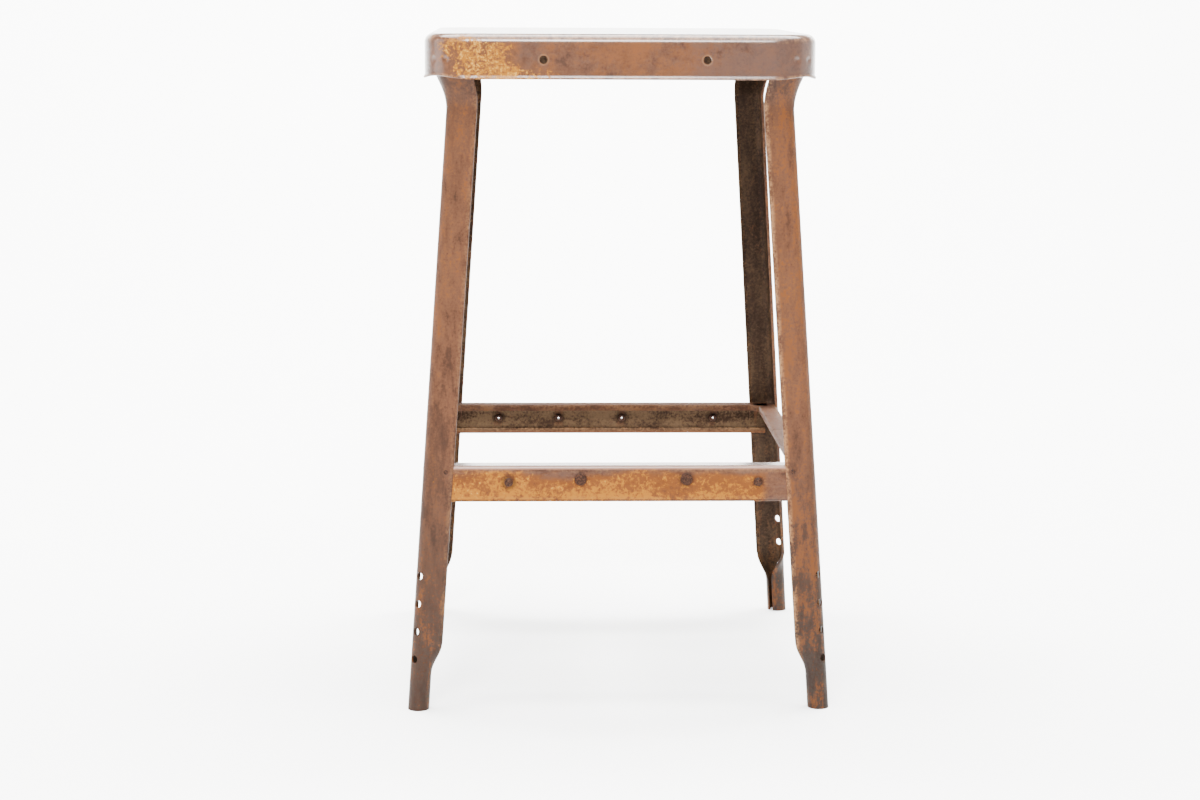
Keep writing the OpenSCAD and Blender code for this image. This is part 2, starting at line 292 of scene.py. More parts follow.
def dimple(point, out):
    """How far a spot-weld dent draws the outer skin inward near a seat corner."""
    depth = 0.0
    for turn in DIMPLE_TURNS:
        a = math.radians(turn)
        x = CORNER_C + SEAT_CORNER_R * math.cos(a)
        y = CORNER_C + SEAT_CORNER_R * math.sin(a)
        gap = math.dist((abs(point[0]), abs(point[1]), point[2]), (x, y, APRON_HOLE_Z))
        depth += DIMPLE_DEPTH * math.exp(-(gap / DIMPLE_R) ** 4)
    return out * depth


def seat_pan():
    stations = seat_stations()
    profile = seat_profile()
    count = len(stations)
    verts, wear_and_highlight, inside = [], [], []
    shrink = [1 - i / 9 for i in range(1, 9)]
    first, last = profile[0], profile[-1]

    def add_ring(d, drop, mark, hidden, scale=1.0, skin=False):
        for centre, out, near in stations:
            flat = (centre + out * (SEAT_CORNER_R - d)) * scale
            lift = CORNER_RISE * near * max(drop / APRON_H, 0) ** 2
            point = Vector((flat.x, flat.y, STOOL_H - drop + lift))
            if skin:
                point -= dimple(point, Vector((out.x, out.y, 0)))
            verts.append(point)
            wear_and_highlight.append(mark)
            inside.append(hidden)

    for scale in reversed(shrink):
        add_ring(first[0], first[1], 0.0, 0.0, scale)
    for d, drop, mark, hidden in profile:
        add_ring(d, drop, mark, hidden, skin=d == 0.0)
    for scale in shrink:
        add_ring(last[0], last[1], 0.0, 1.0, scale)
    rings = len(verts) // count
    faces = band_faces(rings, count)
    top = len(verts)
    verts.append(Vector((0, 0, STOOL_H - first[1])))
    verts.append(Vector((0, 0, STOOL_H - last[1])))
    wear_and_highlight += [0.0, 0.0]
    inside += [0.0, 1.0]
    base = (rings - 1) * count
    for i in range(count):
        j = (i + 1) % count
        faces.append((top, j, i))
        faces.append((top + 1, base + i, base + j))
    piece = build("seat_pan_skin", verts, faces, {"wear_and_highlight": wear_and_highlight, "inside": inside})
    punch(piece, [cutter_round((x, -SEAT_HALF, APRON_HOLE_Z), (0, 1, 0), APRON_HOLE_R) for x in APRON_HOLE_X])
    return piece


# ---------------------------------------------------------------- legs

MID_CORNER = LEG_CORNER_R - LEG_T / 2
MID_LIP = LIP_R - LEG_T / 2
RUN_CORNER = MID_CORNER * math.pi / 4
RUN_FLAT = FLANGE_W - LEG_CORNER_R - LIP_R
RUN_LIP = MID_LIP * math.pi / 2
HALF_DEV = RUN_CORNER + RUN_FLAT + RUN_LIP + LIP_FLAT
FOOT_TURN = 167.0
FOOT_R = HALF_DEV / math.radians(FOOT_TURN) + LEG_T / 2
TOP_R = SEAT_CORNER_R - SEAT_T - GAP
TOP_STRETCH = 1.1
TOP_TURN = math.degrees(HALF_DEV * TOP_STRETCH / (TOP_R - LEG_T / 2))


def angle_turn(s):
    """Turn of the strip, in degrees from its middle, where the leg is a lipped angle."""
    if s <= RUN_CORNER:
        return 45 * s / RUN_CORNER
    if s <= RUN_CORNER + RUN_FLAT:
        return 45.0
    return 45 + 90 * min((s - RUN_CORNER - RUN_FLAT) / RUN_LIP, 1)


def creased_turn(s):
    """The same where it meets the seat: an arc that keeps part of its crease."""
    return CREASE_TURN * min(s / RUN_CORNER, 1) + (TOP_TURN - CREASE_TURN) * s / HALF_DEV


def foot_share(z):
    return 1 - smooth((z - FOOT_H) / (FOOT_OPEN_H - FOOT_H))


def seat_share(z):
    return smooth((z - FLARE_Z) / (FULL_Z - FLARE_Z))


def leg_turn(s, z):
    foot, seat = foot_share(z), seat_share(z)
    size = abs(s)
    turn = (foot * FOOT_TURN * size / HALF_DEV + seat * creased_turn(size)
            + (1 - foot - seat) * angle_turn(size))
    return math.radians(math.copysign(turn, s))


def strip_u(z):
    """Diagonal distance of the strip's middle line from the stool's axis."""
    foot, seat, face, root = foot_share(z), seat_share(z), leg_face(z), math.sqrt(2)
    return (foot * ((face - FOOT_R) * root + FOOT_R - LEG_T / 2)
            + seat * (CORNER_C * root + TOP_R - LEG_T / 2)
            + (1 - foot - seat) * ((face - LEG_CORNER_R) * root + LEG_CORNER_R - LEG_T / 2))


def half_stations():
    """Distances along half of the developed strip, closest together in the bends."""
    runs = ((RUN_CORNER, 8), (RUN_FLAT, 8), (RUN_LIP, 6), (LIP_FLAT, 2))
    stations, start = [0.0], 0.0
    for run, steps in runs:
        stations += [start + run * (i + 1) / steps for i in range(steps)]
        start += run
    return stations


def leg_section(z, half):
    """Closed outline of the sheet at a height, in plan, on the rear right corner."""
    stretch = 1 + (TOP_STRETCH - 1) * seat_share(z)
    u, v, walk = strip_u(z), 0.0, []
    for i, s in enumerate(half):
        if i:
            turn = leg_turn((s + half[i - 1]) / 2, z)
            step = (s - half[i - 1]) * stretch
            u, v = u - step * math.sin(turn), v + step * math.cos(turn)
        walk.append((u, v, leg_turn(s, z)))
    line = [(p[0], -p[1], -p[2]) for p in reversed(walk[1:])] + walk
    cap = LEG_T * 0.3
    outline = []
    for side, order in ((1, line), (-1, list(reversed(line)))):
        for i, (pu, pv, turn) in enumerate(order):
            end = i in (0, len(order) - 1)
            off = side * (LEG_T / 2 - (cap if end else 0))
            outline.append((pu + off * math.cos(turn), pv + off * math.sin(turn)))
    root = math.sqrt(2)
    return [((pu + pv) / root, (pu - pv) / root) for pu, pv in outline]


def leg_levels():
    levels = [FOOT_H * i / 8 for i in range(9)]
    levels += [FOOT_H + (FOOT_OPEN_H - FOOT_H) * i / 22 for i in range(1, 23)]
    levels += [FOOT_OPEN_H + (FLARE_Z - FOOT_OPEN_H) * i / 40 for i in range(1, 41)]
    levels += [FLARE_Z + (FULL_Z - FLARE_Z) * i / 24 for i in range(1, 25)]
    return levels + [LEG_TOP]


def notch(side):
    """The gap in a leg's lip where a rail's web passes behind the flange."""
    z0, z1 = RAIL_TOP - RAIL_H - 0.2 * MM, RAIL_TOP + 0.2 * MM
    x0, x1 = leg_face(z0) - FLANGE_W - MM, leg_face(z0) - FLANGE_W + 2 * LIP_R
    corners = []
    for z in (z0, z1):
        y1 = web_face(z) + GAP
        y0 = y1 - 2 * LIP_R
        corners += [(x0, y0, z), (x1, y0, z), (x1, y1, z), (x0, y1, z)]
    if side:
        corners = [(y, x, z) for x, y, z in corners]
    return cutter_block(corners)


def joint_place(side):
    """Where a rail's rivet sits on the rear right leg, with the outward direction there."""
    place = (leg_face(JOINT_Z) - JOINT_IN, leg_face(JOINT_Z), JOINT_Z)
    out = (0, 1, SPLAY)
    return ((place[1], place[0], place[2]), (1, 0, SPLAY)) if side else (place, out)


def leg(name, sx, sy, lip_paleness):
    """A leg skin on the rear right corner, mirrored into place; the last argument sets how pale its lips are
    painted, for rubbed paint and for a painted highlight on the lip bend.
    """
    half = half_stations()
    levels = leg_levels()
    strip = len(half) * 2 - 1
    size = 2 * strip
    verts, wear_and_highlight, inside, marks = [], [], [], []
    reach = [abs(s) for s in list(reversed(half[1:])) + half]
    for s in reach + list(reversed(reach)):
        lip = (s - RUN_CORNER - RUN_FLAT) / RUN_LIP
        marks.append(max(0.0, 1 - abs(lip - 0.45) / 0.9) if lip > -0.45 else 0.0)
    hidden = [0.0] * strip + [1.0] * strip
    for z in levels:
        verts += [Vector((x, y, z)) for x, y in leg_section(z, half)]
        fade = 1 - max(foot_share(z), seat_share(z))
        wear_and_highlight += [mark * fade * lip_paleness for mark in marks]
        inside += hidden
    faces = band_faces(len(levels), size)
    last = (len(levels) - 1) * size
    for i in range(strip - 1):
        a, b, c, d = i, i + 1, size - 2 - i, size - 1 - i
        faces.append((a, d, c, b))
        faces.append((last + a, last + b, last + c, last + d))
    piece = build(name, verts, faces, {"wear_and_highlight": wear_and_highlight, "inside": inside})
    cutters = []
    for i in range(LEG_HOLES):
        z = LEG_HOLE_Z + i * LEG_HOLE_PITCH
        at = strip_u(z) / math.sqrt(2)
        cutters.append(cutter_round((at, at, z), (1, 1, 0), LEG_HOLE_R))
    for side in (0, 1):
        place, out = joint_place(side)
        cutters.append(cutter_round(place, out, JOINT_R, JOINT_LEG_DEPTH))
        cutters.append(notch(side))
    punch(piece, cutters)
    piece.data.transform(Matrix.Diagonal((sx, sy, 1, 1)))
    if sx * sy < 0:
        piece.data.flip_normals()
    return piece


# ---------------------------------------------------------------- foot rails


def rail_profile():
    """Closed section of a rail: inward distance, drop, how pale a point is painted for wear and painted
    highlight, and whether it is inside.
    """
    inner = RAIL_BEND_R - RAIL_T
    hem_r = RAIL_T + HEM_GAP / 2
    wide, tall = RAIL_FLANGE_W, RAIL_H
    web_out = [(0.0, RAIL_BEND_R + (tall - hem_r - RAIL_BEND_R) * i / 6) for i in range(5, 0, -1)]
    points = []
    points += [(x, y, 0.0, 0.0) for x, y in web_out]
    points += [(x, y, 0.7, 0.0) for x, y in arc(RAIL_BEND_R, RAIL_BEND_R, RAIL_BEND_R, 180, 270, 8)]
    points += [(RAIL_BEND_R + (wide - 2 * RAIL_BEND_R) * i / 4, 0.0, 0.0, 0.0) for i in range(1, 4)]
    points += [(x, y, 0.3, 0.0) for x, y in arc(wide - RAIL_BEND_R, RAIL_BEND_R, RAIL_BEND_R, 270, 360, 8)]
    points += [(wide, RAIL_LIP_H - LIP_BEVEL, 0.1, 0.0), (wide - LIP_BEVEL, RAIL_LIP_H, 0.3, 0.0)]
    points += [(wide - RAIL_T + LIP_BEVEL, RAIL_LIP_H, 0.5, 1.0)]
    points += [(wide - RAIL_T, RAIL_LIP_H - LIP_BEVEL, 0.0, 1.0)]
    points += [(x, y, 0.0, 1.0) for x, y in arc(wide - RAIL_BEND_R, RAIL_BEND_R, inner, 360, 270, 5)]
    points += [(x, y, 0.0, 1.0) for x, y in arc(RAIL_BEND_R, RAIL_BEND_R, inner, 270, 180, 5)]
    points += [(RAIL_T, tall - HEM_H, 0.0, 1.0), (RAIL_T, tall - hem_r, 0.0, 1.0)]
    points += [(x, y, 0.0, 1.0) for x, y in arc(hem_r, tall - hem_r, HEM_GAP / 2, 180, 0, 4)[1:-1]]
    points += [(RAIL_T + HEM_GAP, tall - hem_r, 0.0, 1.0)]
    points += [(RAIL_T + HEM_GAP, tall - HEM_H + HEM_BEVEL, 0.2, 1.0)]
    points += [(RAIL_T + HEM_GAP + HEM_BEVEL, tall - HEM_H, 0.6, 1.0)]
    points += [(2 * RAIL_T + HEM_GAP - HEM_BEVEL, tall - HEM_H, 0.6, 1.0)]
    points += [(2 * RAIL_T + HEM_GAP, tall - HEM_H + HEM_BEVEL, 0.6, 1.0)]
    points += [(x, y, 0.2, 0.0) for x, y in arc(hem_r, tall - hem_r, hem_r, 0, 180, 10)]
    return points


def rail_y(inward, drop, x):
    """Distance from the middle plane, with the lip easing inward round the ring's inner corner."""
    reach = web_face(RAIL_TOP)
    bend_start = reach - RAIL_FLANGE_W - RAIL_CORNER_R
    past = min(max((x - bend_start) / RAIL_CORNER_R, 0), 1)
    ease = RAIL_CORNER_R * (1 - math.sqrt(1 - past * past)) * min(inward / RAIL_FLANGE_W, 1) ** 2
    return reach - inward - ease + SPLAY * drop


def rail_end(inward, drop):
    """How far along a section point runs: to the leg's inner bend, or to the mitre with the next rail."""
    x = RAIL_END
    for _ in range(MITRE_ROUNDS):
        reach = rail_y(inward, drop, x)
        x = min(RAIL_END, (x + reach - MITRE_GAP) / 2) if reach < x else RAIL_END
    return x


def rail(name, turn, cutters):
    """A rail on the rear side, turned round the stool's axis afterwards."""
    profile = rail_profile()
    ends = [rail_end(p[0], p[1]) for p in profile]
    straight = web_face(RAIL_TOP) - RAIL_FLANGE_W - RAIL_CORNER_R
    count = len(profile)
    stops = [("mid", i / 30) for i in range(-30, 31)]
    stops = [("left", 1 - i / 8) for i in range(8)] + stops + [("right", (i + 1) / 8) for i in range(8)]
    verts, wear_and_highlight, inside = [], [], []
    for kind, share in stops:
        for (inward, drop, mark, hidden), end in zip(profile, ends):
            run = straight * abs(share) if kind == "mid" else straight + (end - straight) * share
            x = math.copysign(run, share) if kind == "mid" else (run if kind == "right" else -run)
            verts.append(Vector((x, rail_y(inward, drop, abs(x)), RAIL_TOP - drop)))
            wear_and_highlight.append(mark)
            inside.append(hidden)
    faces = band_faces(len(stops), count)
    last = (len(stops) - 1) * count
    faces.append(tuple(range(count)))
    faces.append(tuple(last + i for i in reversed(range(count))))
    piece = build(name, verts, faces, {"wear_and_highlight": wear_and_highlight, "inside": inside})
    joints = []
    for side in (-1, 1):
        place, out = joint_place(0)
        joints.append(cutter_round((side * place[0], place[1], place[2]), out, JOINT_R, JOINT_RAIL_DEPTH))
    punch(piece, joints + cutters)
    piece.data.transform(Matrix.Rotation(math.radians(turn), 4, "Z"))
    return piece


def web_hole(x, z, radius):
    return cutter_round((x, web_face(z), z), (0, 1, SPLAY), radius)


# ---------------------------------------------------------------- shader sums


class Value:
    """Wraps a number socket, so that a sum written in Python adds its Math nodes."""

    def __init__(self, finish, socket):
        self.finish, self.socket = finish, socket

    def _math(self, operation, *terms):
        return self.finish.math(operation, *terms)

    def __add__(self, other):
        return self._math("ADD", self, other)

    def __radd__(self, other):
        return self._math("ADD", other, self)

    def __sub__(self, other):
        return self._math("SUBTRACT", self, other)

    def __rsub__(self, other):
        return self._math("SUBTRACT", other, self)

    def __mul__(self, other):
        return self._math("MULTIPLY", self, other)

    def __truediv__(self, other):
        return self._math("DIVIDE", self, other)

    def __abs__(self):
        return self._math("ABSOLUTE", self)

    def floor(self):
        return self._math("MAXIMUM", self, 0.0)

    def cap(self):
        return self._math("MINIMUM", self.floor(), 1.0)


class Finish:
    """One material, built node by node."""

    def __init__(self, name):
        self.material = bpy.data.materials.new(name)
        self.material.use_nodes = True
        self.tree = self.material.node_tree
        self.tree.nodes.clear()
        self.shader = self.node("ShaderNodeBsdfPrincipled", {}, {})
        self.node("ShaderNodeOutputMaterial", {}, {"Surface": self.shader.outputs[0]})
        self.place = self.node("ShaderNodeTexCoord", {}, {}).outputs["Object"]

    def link(self, socket, value):
        value = value.socket if isinstance(value, Value) else value
        if isinstance(value, bpy.types.NodeSocket):
            self.tree.links.new(value, socket)
        elif socket.type == "RGBA":
            socket.default_value = (*value, 1.0)
        else:
            socket.default_value = value

    def node(self, kind, settings, inputs):
        """A node of a kind: its settings are made first, then its sockets get values or links."""
        made = self.tree.nodes.new(kind)
        for setting, value in settings.items():
            setattr(made, setting, value)
        for socket, value in inputs.items():
            self.link(made.inputs[socket], value)
        return made

    def math(self, operation, *terms):
        made = self.node("ShaderNodeMath", {"operation": operation}, dict(enumerate(terms)))
        return Value(self, made.outputs[0])

    def vector(self, operation, *terms):
        return self.node("ShaderNodeVectorMath", {"operation": operation}, dict(enumerate(terms))).outputs[0]

    def axes(self):
        parts = self.node("ShaderNodeSeparateXYZ", {}, {0: self.place}).outputs
        return [Value(self, part) for part in parts]

    def noise(self, scale, detail=3.0, rough=0.55, stretch=(1, 1, 1), shift=0.0, bend=0.0):
        """Noise from about 0 to 1, with features of 1 / scale metres."""
        place = self.vector("MULTIPLY", self.place, stretch)
        place = self.vector("ADD", place, (shift, shift * 0.7, -shift))
        inputs = {"Vector": place, "Scale": scale, "Detail": detail, "Roughness": rough, "Distortion": bend}
        return Value(self, self.node("ShaderNodeTexNoise", {}, inputs).outputs["Fac"])

    def distance(self, point):
        """Distance of the surface from a point."""
        made = self.node("ShaderNodeVectorMath", {"operation": "DISTANCE"}, {0: self.place, 1: point})
        return Value(self, made.outputs["Value"])

    def mark(self, name):
        made = self.node("ShaderNodeAttribute", {"attribute_name": name}, {})
        return Value(self, made.outputs["Fac"])

    def step(self, value, low, high):
        """Rises smoothly from 0 to 1 between two values."""
        inputs = {"Value": value, "From Min": low, "From Max": high}
        made = self.node("ShaderNodeMapRange", {"interpolation_type": "SMOOTHSTEP"}, inputs)
        return Value(self, made.outputs["Result"])

    def mix(self, share, first, second):
        settings = {"data_type": "RGBA", "blend_type": "MIX"}
        made = self.node("ShaderNodeMix", settings, {"Factor": share, 6: first, 7: second})
        return made.outputs[2]

    def bump(self, height, strength, distance):
        inputs = {"Height": height, "Strength": strength, "Distance": distance}
        self.link(self.shader.inputs["Normal"], self.node("ShaderNodeBump", {}, inputs).outputs[0])

    def done(self, colour, roughness):
        self.link(self.shader.inputs["Base Color"], colour)
        self.link(self.shader.inputs["Roughness"], roughness)
        return self.material


# ---------------------------------------------------------------- finishes

# the paint is kept dark and its base barely shines, because the room around it is bright and white
PAINT_SPECULAR = 0.05
IRON_SPECULAR = 0.06
BROWN = (0.040, 0.0150, 0.0068)
BROWN_LIGHT = (0.070, 0.0285, 0.0135)
BROWN_DARK = (0.0100, 0.0046, 0.0028)
MAUVE = (0.042, 0.0240, 0.0190)
ORANGE = (0.088, 0.0260, 0.0036)
YELLOW = (0.180, 0.0660, 0.0040)
CREAM = (0.300, 0.160, 0.034)
ROSE_HIGHLIGHT = (0.160, 0.080, 0.056)
PALE = (0.170, 0.088, 0.040)
GREY = (0.0140, 0.0096, 0.0070)
OLIVE = (0.060, 0.0370, 0.0205)
# the inside faces' colour: their darker paint with painted shade in it
INSIDE_PAINT_AND_SHADE = (0.0120, 0.0066, 0.0042)
IRON_DARK = (0.012, 0.0056, 0.0036)
IRON_LIGHT = (0.040, 0.0170, 0.0095)
PAPER_DARK = (0.86, 0.86, 0.85)
PAPER_LIGHT = (0.90, 0.90, 0.89)

# places of the flaking on the front skirt
PATCH_X, PATCH_Z = -0.122, 0.588
TRAIL_X = -0.098
FLECK_X = -0.132


def worn_paint(name, stretch, rust, gloss, base_rough, mottle, foot=False):
    """Old brown paint with its rust; the inside faces are darker, partly their own paint and partly painted
    shade.

    stretch shapes the noises, rust is the function that adds the rust and, on some pieces, painted shade and
    a painted highlight, gloss is the clear coat that the rust and the inside lose, mottle is the strength of
    the stains, and foot darkens the leg's lower end and paints shade on its top end under the seat.
    """
    f = Finish(name)
    f.shader.inputs["Specular IOR Level"].default_value = PAINT_SPECULAR
    f.shader.inputs["Coat Roughness"].default_value = base_rough
    f.cloud = f.noise(14, 3, 0.5, stretch, 3.1)
    f.blotch = f.noise(48, 5, 0.65, stretch, 7.7)
    f.streak = f.noise(130, 5, 0.65, stretch, 1.3)
    f.grain = f.noise(420, 5, 0.75, (1, 1, 1), 5.9)
    f.speck = f.noise(1500, 2, 0.6, (1, 1, 1), 2.2)
    light = f.step(f.blotch * 0.35 + f.streak * 0.35 + f.grain * 0.30, 0.42, 0.58)
    colour = f.mix((light - 0.5) * mottle + 0.5, BROWN, BROWN_LIGHT)
    colour = f.mix(f.step(f.cloud * 0.6 + f.streak * 0.4, 0.50, 0.60) * 0.5, colour, MAUVE)
    warm = f.step(f.blotch * 0.3 + f.streak * 0.3 + f.grain * 0.4, 0.50, 0.62)
    colour = f.mix(warm * 0.75 * mottle, colour, ORANGE)
    dark_patch = f.step(f.streak * 0.5 + f.blotch * 0.3 + f.grain * 0.2, 0.46, 0.38)
    colour = f.mix(dark_patch * 0.6 * mottle, colour, BROWN_DARK)
    if foot:
        x, _, z = f.axes()
        low = f.step(z * -1 + (f.blotch - 0.5) * 0.10, -0.300, -0.030)
        share = low * (f.step(x, 0.0, 0.1) * 0.15 + 0.80)
        colour = f.mix(share, colour, f.mix(f.step(f.grain, 0.42, 0.58), GREY, BROWN_DARK))
        # painted shade: the top of the leg is darkened where it stands under the seat skirt
        colour = f.mix(f.step(z + (f.streak - 0.5) * 0.05, 0.500, 0.572) * 0.42, colour, BROWN_DARK)
    # partly painted shade: the inside faces get a darker colour, both their own darker paint and painted
    # shade inside the folds
    inside = f.mark("inside").cap()
    shade = f.mix(f.step(f.blotch * 0.55 + f.grain * 0.45, 0.38, 0.64) * 0.8, INSIDE_PAINT_AND_SHADE, OLIVE)
    colour = f.mix(inside * 0.9, colour, shade)
    colour, flaked = rust(f, colour)
    colour = f.mix(f.step(f.speck * 0.4 + f.grain * 0.6, 0.62, 0.72) * 0.22, colour, PALE)
    colour = f.mix(f.step(f.speck * 0.4 + f.grain * 0.6, 0.43, 0.34) * 0.6, colour, BROWN_DARK)
    # pale bends and lips: rubbed paint together with a painted highlight on the curved edges
    wear_and_highlight = f.mark("wear_and_highlight") * f.step(f.grain * 0.5 + f.streak * 0.5, 0.44, 0.60)
    colour = f.mix((wear_and_highlight * 0.6).cap(), colour, PALE)
    f.link(f.shader.inputs["Coat Weight"], (gloss - flaked * gloss * 0.9) * (1 - inside * 0.9))
    roughness = base_rough + 0.2 + f.grain * 0.14 + flaked * 0.20
    f.bump(f.grain * 0.5 + f.streak * 0.5 + f.speck * (flaked * 0.5 + 0.15), 0.5, 0.3 * MM)
    return f.done(colour, roughness)


def seat_rust_and_shade(f, colour):
    """Yellow rust at the left of the front skirt, its trail by the hem, a ring round each hole, and painted
    shade on the flat top and upper rolled edge.
    """
    x, y, z = f.axes()
    front = f.step(y * -1, 0.150, 0.168)
    flake = f.noise(210, 7, 0.72, (1, 1, 1), 4.4, 0.5)
    wide = 1 - f.step(abs(x - PATCH_X + (z - PATCH_Z) * 0.9 + (flake - 0.5) * 0.05), 0.004, 0.050)
    tall = 1 - f.step(abs(z - 0.586), 0.006, 0.026)
    trail = (1 - f.step(abs(x - TRAIL_X), 0.025, 0.070)) * (1 - f.step(z, 0.572, 0.586))
    fleck = (1 - f.step(abs(x - FLECK_X), 0.025, 0.055)) * f.step(z, 0.588, 0.600) * 0.45
    patch = (wide * tall + trail * 0.7 + fleck).cap() * front * (0.72 + flake * 0.5).cap()
    flakes = f.step(patch * 0.16 + f.blotch * 0.20 + flake * 0.50 + f.grain * 0.30, 0.61, 0.66)
    light = f.step(patch * 0.14 + flake * 0.45 + f.grain * 0.55, 0.655, 0.71)
    warm = f.step(f.cloud * 0.3 + f.blotch * 0.4 + flake * 0.3 - abs(x - 0.01) * 0.6, 0.42, 0.52) * front
    colour = f.mix(warm * 0.50, colour, ORANGE)
    cool = f.step(x + (f.blotch - 0.5) * 0.25, 0.050, 0.110) * front
    colour = f.mix(cool * 0.60, colour, MAUVE)
    colour = f.mix(patch * 0.45, colour, ORANGE)
    colour = f.mix(flakes * 0.90, colour, YELLOW)
    colour = f.mix(light * 0.85, colour, CREAM)
    # painted shade: the flat top and the upper part of the rolled edge are darkened, to give the dark line
    # above the edge's highlight
    colour = f.mix(f.step(z, STOOL_H - 1.8 * MM, STOOL_H - 0.4 * MM) * 0.55, colour, BROWN_DARK)
    for hole_x in APRON_HOLE_X:
        away = f.distance((hole_x, -SEAT_HALF, APRON_HOLE_Z))
        ring = f.step(away + (f.grain - 0.5) * 0.003, APRON_HOLE_R * 1.55, APRON_HOLE_R * 1.15)
        colour = f.mix(ring * front * 0.30, colour, PALE)
    hem = 1 - f.step(z, STOOL_H - APRON_H + 1.5 * MM, STOOL_H - APRON_H + 4 * MM)
    return colour, (flakes + light + hem * 0.6).cap()


def leg_rust(f, colour):
    """Orange and dark streaks down the flanges, with a few flakes, and browner inside faces."""
    outside = 1 - f.mark("inside").cap() * 0.75
    dark = f.step(f.cloud * 0.50 + f.streak * 0.35 + f.grain * 0.15, 0.47, 0.40)
    streaks = f.step(f.cloud * 0.40 + f.streak * 0.35 + f.grain * 0.25, 0.50, 0.58)
    flakes = f.step(f.blotch * 0.4 + f.grain * 0.6, 0.60, 0.68)
    colour = f.mix(dark * outside * 0.35, colour, BROWN_DARK)
    colour = f.mix(streaks * outside * 0.60, colour, ORANGE)
    colour = f.mix(f.mark("inside").cap() * 0.30, colour, f.mix(streaks, BROWN_DARK, BROWN))
    return f.mix(flakes * outside * 0.40, colour, YELLOW), flakes


def front_rail_rust_and_painted_light(f, colour):
    """Orange and yellow rust over the web, brown along its top and right end, darker round the rivets,
    painted shade in the crease above the hem, and a painted highlight on the top bend.
    """
    x, y, z = f.axes()
    front = f.step(y * -1, 0.150, 0.172)
    flake = f.noise(190, 7, 0.75, (1, 1, 1), 6.1, 0.6)
    drop = (RAIL_TOP - z) / RAIL_H
    low = f.step(drop + (f.blotch - 0.5) * 0.9, 0.10, 0.34)
    run = 1 - f.step(x + (flake - 0.5) * 0.02, 0.126, 0.136)
    rusty = low * run * front
    colour = f.mix(rusty * 0.85, colour, ORANGE)
    yellow = f.step(drop * 0.10 - x * 0.12 + f.blotch * 0.25 + flake * 0.45 + f.grain * 0.30, 0.54, 0.60)
    colour = f.mix(yellow * rusty * 0.90, colour, YELLOW)
    light = f.step(f.cloud * 0.20 + flake * 0.45 + f.grain * 0.35 - x * 0.20, 0.60, 0.65)
    colour = f.mix(light * rusty * 0.80, colour, CREAM)
    bare = f.step(f.blotch * 0.4 + flake * 0.6, 0.43, 0.37)
    colour = f.mix(bare * rusty * 0.7, colour, BROWN)
    # painted shade: a broken dark line in the crease just above the bottom hem
    crease = 1 - f.step(abs(drop * RAIL_H - RAIL_H + 1.4 * MM), 0.4 * MM, 1.3 * MM)
    colour = f.mix(crease * front * f.step(f.grain, 0.40, 0.52) * 0.80, colour, BROWN_DARK)
    # darkened round each dome and plug
    for place_x, place_z, size in FRONT_RIVET_DARKENING:
        away = f.distance((place_x, -web_face(place_z), place_z))
        dark_patch = f.step(away + (f.grain - 0.5) * 0.006, size, size * 0.55)
        colour = f.mix(dark_patch * front * 0.65, colour, BROWN_DARK)
    # painted highlight: a pink line along the bend at the top of the front face
    bend = (1 - f.step(abs(drop - 0.055), 0.020, 0.070)) * f.step(y * -1, 0.168, 0.172)
    colour = f.mix(bend * 0.80, colour, ROSE_HIGHLIGHT)
    return colour, (f.step(drop, 0.04, 0.12) * 0.8 + rusty * 0.2).cap()


def rail_rust_and_shade(f, colour):
    """Dull mottling, painted shade on the rear rail's top flange and lip, and darker patches round its
    rivets.
    """
    _, y, z = f.axes()
    mottle = f.step(f.blotch * 0.45 + f.grain * 0.55, 0.42, 0.58)
    colour = f.mix(mottle * 0.55 * (f.mark("inside").cap() * 0.7 + 0.3), colour, OLIVE)
    # painted shade: the rear rail's top flange and lip are darkened
    behind = f.step(y, 0.130, 0.140)
    top = f.step(z + (f.grain - 0.5) * 0.004, RAIL_TOP - RAIL_LIP_H - 2 * MM, RAIL_TOP - RAIL_LIP_H)
    colour = f.mix(top * behind * 0.50, colour, BROWN_DARK)
    # darkened round each rivet
    for place_x in REAR_X:
        away = f.distance((place_x, web_face(REAR_Z), REAR_Z))
        dark_patch = f.step(away + (f.grain - 0.5) * 0.008, 0.010, 0.004)
        colour = f.mix(dark_patch * 0.8, colour, INSIDE_PAINT_AND_SHADE)
    return colour, mottle * 0.5


def rivet_iron():
    f = Finish("rivet_iron_dark")
    f.shader.inputs["Specular IOR Level"].default_value = IRON_SPECULAR
    grain = f.noise(900, 3, 0.6)
    colour = f.mix(f.step(grain, 0.4, 0.65), IRON_DARK, IRON_LIGHT)
    f.bump(grain, 0.4, 0.15 * MM)
    return f.done(colour, 0.34 + grain * 0.2)


def floor_paper():
    f = Finish("floor_paper")
    soft = f.noise(3, 2, 0.5)
    fibre = f.noise(900, 2, 0.5)
    colour = f.mix(soft, PAPER_DARK, PAPER_LIGHT)
    f.bump(fibre, 0.05, 0.1 * MM)
    return f.done(colour, 0.75 + fibre * 0.1)


# ---------------------------------------------------------------- pieces


def dress(piece, material, node):
    """Gives a skin its paint and puts it in the place of its CAD node."""
    piece.data.materials.clear()
    piece.data.materials.append(material)
    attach(piece, BODY)
    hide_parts(node)


